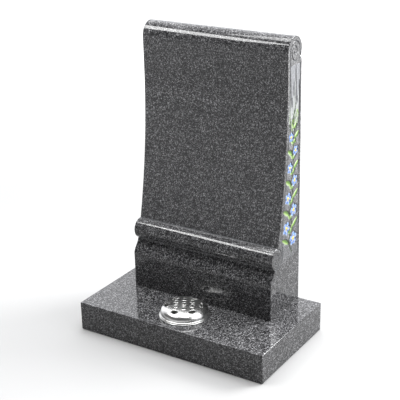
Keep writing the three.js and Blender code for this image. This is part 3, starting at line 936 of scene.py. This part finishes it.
flange_radius = (pot_high.x - pot_low.x) / 2
flange_top = base_high.z + FLANGE_THICKNESS
flange_round = FLANGE_THICKNESS / 2
pot_bore = POT_RADIUS - POT_WALL
mouth_radius = pot_bore + POT_MOUTH_ROUND
mouth_height = flange_top - POT_MOUTH_ROUND
inside_foot = pot_low.z + POT_WALL
pot_profile = [
    (0.0, pot_low.z),
    *corner(POT_RADIUS - POT_CORNER, pot_low.z + POT_CORNER, POT_CORNER, -90, 0, CORNER_POINTS),
    (POT_RADIUS, base_high.z),
    *corner(flange_radius - flange_round, base_high.z + flange_round, flange_round, -90, 90, FLANGE_POINTS),
    (mouth_radius + POT_MOUTH_ROUND, flange_top),
    *corner(mouth_radius, mouth_height, POT_MOUTH_ROUND, 90, 180, POT_MOUTH_POINTS),
    *corner(pot_bore - POT_CORNER, inside_foot + POT_CORNER, POT_CORNER, 0, -90, CORNER_POINTS),
    (0.0, inside_foot),
]
pot_metal = spun_aluminium("pot_aluminium", POT_COLOUR, POT_ROUGHNESS)
flower_pot = make_piece("flower_pot_cup", spin_profile(pot_profile), (pot_metal,))
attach(flower_pot, "root")
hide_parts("flower_pot")

# Pot lid: a domed disc pressed from polished aluminium, its edge rolled over into a bead.
# Round holes and oval slots for the stems are punched through it, each with its lip turned over,
# and it lies loose on the flange.
lid_low, lid_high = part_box("flower_pot_lid")
LID_BEAD = 0.002
LID_BEAD_POINTS = 10
LID_WALL = 0.0012
LID_COLOUR = (0.68, 0.68, 0.67)
LID_ROUGHNESS = 0.26
DOME_POWER = 4.0
DOME_SHARPNESS = 0.4
DOME_POINTS = 34
STEM_HOLE = 0.0125
STEM_SLOT_LENGTH = 0.021
HOLES_PER_RING = 6
INNER_RING = 0.0235
OUTER_RING = 0.0435
HOLE_STEPS = 40
LIP_RADIUS = 0.0008
LIP_OUTSET = 0.0003
LIP_STEPS = 8
bead_radius = (lid_high.x - lid_low.x) / 2 - LID_BEAD
bead_top = lid_low.z + 2 * LID_BEAD


def dome_rise(reach):
    """How high the flattened dome stands, from 0 at its rim to 1, at a share of its radius."""
    return (1 - reach**DOME_POWER) ** DOME_SHARPNESS


def dome(radius, rim, top):
    """A profile of the dome, from its rim to its middle."""
    reach = np.cos(np.linspace(0.0, math.pi / 2, DOME_POINTS))
    reach[-1] = 0.0
    return [(radius * part, rim + (top - rim) * dome_rise(part)) for part in reach]


def hole_places():
    """Each hole's turn and distance about the lid's axis, and its length across the radius."""
    places = [(0.0, 0.0, STEM_HOLE)]
    for index in range(HOLES_PER_RING):
        turn = 2 * math.pi * index / HOLES_PER_RING
        places.append((turn, INNER_RING, STEM_HOLE))
        places.append((turn + math.pi / HOLES_PER_RING, OUTER_RING, STEM_SLOT_LENGTH))
    return places


def carry_to_hole(shape, verts, turn, distance, length):
    """Stretches a ring made about the lid's axis to a hole's length, and carries it to that hole."""
    bmesh.ops.scale(shape, vec=(1.0, length / STEM_HOLE, 1.0), verts=verts)
    bmesh.ops.translate(shape, vec=(distance, 0.0, 0.0), verts=verts)
    bmesh.ops.rotate(shape, cent=(0.0, 0.0, 0.0), matrix=Matrix.Rotation(turn, 3, "Z"), verts=verts)


def stem_punch():
    """The punches for all the holes, from below the lid's rim to above its top."""
    shape = bmesh.new()
    for turn, distance, length in hole_places():
        foot = bmesh.ops.create_circle(
            shape, cap_ends=True, segments=HOLE_STEPS, radius=STEM_HOLE / 2
        )["verts"]
        carry_to_hole(shape, foot, turn, distance, length)
        bmesh.ops.translate(shape, vec=(pot_x, pot_y, lid_low.z - LID_BEAD), verts=foot)
        top = bmesh.ops.extrude_face_region(shape, geom=foot[0].link_faces[:])["geom"]
        raised = [item for item in top if isinstance(item, bmesh.types.BMVert)]
        bmesh.ops.translate(shape, vec=(0.0, 0.0, lid_high.z - lid_low.z + 3 * LID_BEAD), verts=raised)
    bmesh.ops.recalc_face_normals(shape, faces=shape.faces[:])
    return shape


def add_rolled_lips(shape):
    """The turned-over lip around each hole, a thin round bead that follows the dome."""
    out = Matrix.Translation((STEM_HOLE / 2 + LIP_OUTSET, 0.0, 0.0))
    upright = Matrix.Rotation(math.pi / 2, 4, "X")
    for turn, distance, length in hole_places():
        earlier = set(shape.verts)
        section = bmesh.ops.create_circle(
            shape, segments=LIP_STEPS, radius=LIP_RADIUS, matrix=out @ upright
        )["verts"]
        edges = list(dict.fromkeys(edge for vert in section for edge in vert.link_edges))
        bmesh.ops.spin(
            shape, geom=section + edges, cent=(0.0, 0.0, 0.0), axis=(0.0, 0.0, 1.0), angle=2 * math.pi,
            steps=HOLE_STEPS, use_merge=True,
        )
        lip = [vert for vert in shape.verts if vert not in earlier]
        carry_to_hole(shape, lip, turn, distance, length)
        for vert in lip:
            vert.co.z += bead_top + (lid_high.z - bead_top) * dome_rise(vert.co.xy.length / bead_radius)
        bmesh.ops.translate(shape, vec=(pot_x, pot_y, 0.0), verts=lip)


lid_profile = [
    *reversed(dome(bead_radius - LID_WALL, lid_low.z, lid_high.z - LID_WALL)),
    *corner(bead_radius, lid_low.z + LID_BEAD, LID_BEAD, -90, 90, LID_BEAD_POINTS),
    *dome(bead_radius, bead_top, lid_high.z)[1:],
]
lid_metal = spun_aluminium("lid_aluminium", LID_COLOUR, LID_ROUGHNESS)
pot_lid = make_piece("flower_pot_lid_dome", spin_profile(lid_profile), (lid_metal,))
cut_away(pot_lid, make_piece("flower_pot_lid_punch", stem_punch(), (lid_metal,)))
lid_shape = bmesh.new()
lid_shape.from_mesh(pot_lid.data)
add_rolled_lips(lid_shape)
smooth_metal(lid_shape)
lid_shape.to_mesh(pot_lid.data)
lid_shape.free()
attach(pot_lid, "root")
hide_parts("flower_pot_lid")

# Floor: a plain pale studio floor just under the slab, wide enough to fill the view from every side.
# It is greyer close to the stone, where the lamps are strongest, so that it comes out evenly pale.
FLOOR_HALF = 30.0
FLOOR_SQUARES = 4
FLOOR_GAP = 0.0005
FLOOR_NEAR = 1.0
FLOOR_FAR = 3.8
FLOOR_TONE_NEAR = 0.29
FLOOR_TONE_FAR = 0.88
FLOOR_ROUGHNESS = 0.8
FLOOR_GLOSS = 0.2


def studio_floor():
    material, tree, shader = start_material("studio_floor")
    where = add_node(tree, "ShaderNodeTexCoord")
    reach = add_node(tree, "ShaderNodeVectorMath", operation="LENGTH")
    link(tree, where.outputs["Object"], reach.inputs[0])
    tone = add_node(tree, "ShaderNodeMapRange", interpolation_type="SMOOTHSTEP")
    tone.inputs["From Min"].default_value = FLOOR_NEAR
    tone.inputs["From Max"].default_value = FLOOR_FAR
    tone.inputs["To Min"].default_value = FLOOR_TONE_NEAR
    tone.inputs["To Max"].default_value = FLOOR_TONE_FAR
    link(tree, reach.outputs["Value"], tone.inputs["Value"])
    link(tree, tone.outputs["Result"], shader.inputs["Base Color"])
    shader.inputs["Roughness"].default_value = FLOOR_ROUGHNESS
    shader.inputs["Specular IOR Level"].default_value = FLOOR_GLOSS
    return material


ground = bmesh.new()
bmesh.ops.create_grid(ground, x_segments=FLOOR_SQUARES, y_segments=FLOOR_SQUARES, size=FLOOR_HALF)
bmesh.ops.translate(ground, vec=(0.0, 0.0, base_low.z - FLOOR_GAP), verts=ground.verts)
make_piece("studio_floor", ground, (studio_floor(),))

# Light: a soft room, bright behind the stone and dim in front of it, so that the polished face stays dark.
# Four broad lamps stand around and above, and the camera itself sees a pale backdrop beyond the floor.
ROOM_FRONT = (0.06, 0.06, 0.06, 1.0)
ROOM_BACK = (2.1, 2.12, 2.18, 1.0)
ROOM_BRIGHTENS_FROM = -0.35
ROOM_BRIGHTENS_TO = 0.45
BACKDROP = (0.93, 0.93, 0.94, 1.0)
STONE_MIDDLE = (0.0, 0.1, 0.45)


def studio_room():
    world = bpy.data.worlds.new("studio_room")
    world.use_nodes = True
    tree = world.node_tree
    where = add_node(tree, "ShaderNodeTexCoord")
    parts = add_node(tree, "ShaderNodeSeparateXYZ")
    link(tree, where.outputs["Generated"], parts.inputs["Vector"])
    shade = add_node(tree, "ShaderNodeMapRange", interpolation_type="SMOOTHSTEP")
    shade.inputs["From Min"].default_value = ROOM_BRIGHTENS_FROM
    shade.inputs["From Max"].default_value = ROOM_BRIGHTENS_TO
    link(tree, parts.outputs["Y"], shade.inputs["Value"])
    blend = add_node(tree, "ShaderNodeMix", data_type="RGBA")
    blend.inputs["A"].default_value = ROOM_FRONT
    blend.inputs["B"].default_value = ROOM_BACK
    link(tree, shade.outputs["Result"], blend.inputs["Factor"])
    ray = add_node(tree, "ShaderNodeLightPath")
    seen = add_node(tree, "ShaderNodeMix", data_type="RGBA")
    seen.inputs["B"].default_value = BACKDROP
    link(tree, ray.outputs["Is Camera Ray"], seen.inputs["Factor"])
    link(tree, blend.outputs["Result"], seen.inputs["A"])
    link(tree, seen.outputs["Result"], tree.nodes["Background"].inputs["Color"])
    return world


def add_lamp(name, place, target, width, height, power):
    light = bpy.data.lights.new(name, "AREA")
    light.shape = "RECTANGLE"
    light.size = width
    light.size_y = height
    light.energy = power
    lamp = bpy.data.objects.new(name, light)
    lamp.location = place
    lamp.visible_camera = False
    lamp.rotation_euler = (Vector(target) - Vector(place)).to_track_quat("-Z", "Y").to_euler()
    bpy.context.scene.collection.objects.link(lamp)


bpy.context.scene.world = studio_room()
add_lamp(
    "front_softbox", place=(-0.85, -0.62, 1.75), target=(-0.30, -0.10, 0.0),
    width=0.8, height=0.48, power=23.0,
)
add_lamp(
    "back_right_softbox", place=(1.7, 1.9, 2.0), target=(1.0, 1.3, 0.0),
    width=1.2, height=1.2, power=165.0,
)
add_lamp(
    "right_softbox", place=(2.6, -0.2, 1.5), target=STONE_MIDDLE,
    width=1.4, height=1.4, power=20.0,
)
add_lamp(
    "overhead_softbox", place=(0.1, 0.4, 3.0), target=STONE_MIDDLE,
    width=2.4, height=2.4, power=165.0,
)

# Camera: stands to the right of the stone's front and looks down on it through a long lens,
# turned a little about its own line of sight.
CAMERA_PLACE = Vector((1.27677, -1.96575, 1.29507))
CAMERA_YAW = math.radians(32.857)
CAMERA_PITCH = math.radians(21.805)
CAMERA_ROLL = math.radians(-1.306)
CAMERA_LENS = 92.93
CAMERA_SENSOR = 36.0


def aim_camera():
    data = bpy.data.cameras.new("camera")
    data.lens = CAMERA_LENS
    data.sensor_width = CAMERA_SENSOR
    ahead = Vector((
        -math.sin(CAMERA_YAW) * math.cos(CAMERA_PITCH),
        math.cos(CAMERA_YAW) * math.cos(CAMERA_PITCH),
        -math.sin(CAMERA_PITCH),
    ))
    level = Vector((math.cos(CAMERA_YAW), math.sin(CAMERA_YAW), 0.0))
    upright = level.cross(ahead)
    right = level * math.cos(CAMERA_ROLL) + upright * math.sin(CAMERA_ROLL)
    up = upright * math.cos(CAMERA_ROLL) - level * math.sin(CAMERA_ROLL)
    turn = Matrix((right, up, -ahead)).transposed().to_4x4()
    camera = bpy.data.objects.new("camera", data)
    camera.matrix_world = Matrix.Translation(CAMERA_PLACE) @ turn
    bpy.context.scene.collection.objects.link(camera)
    return camera


bpy.context.scene.camera = aim_camera()
bpy.context.scene.view_settings.view_transform = "Standard"
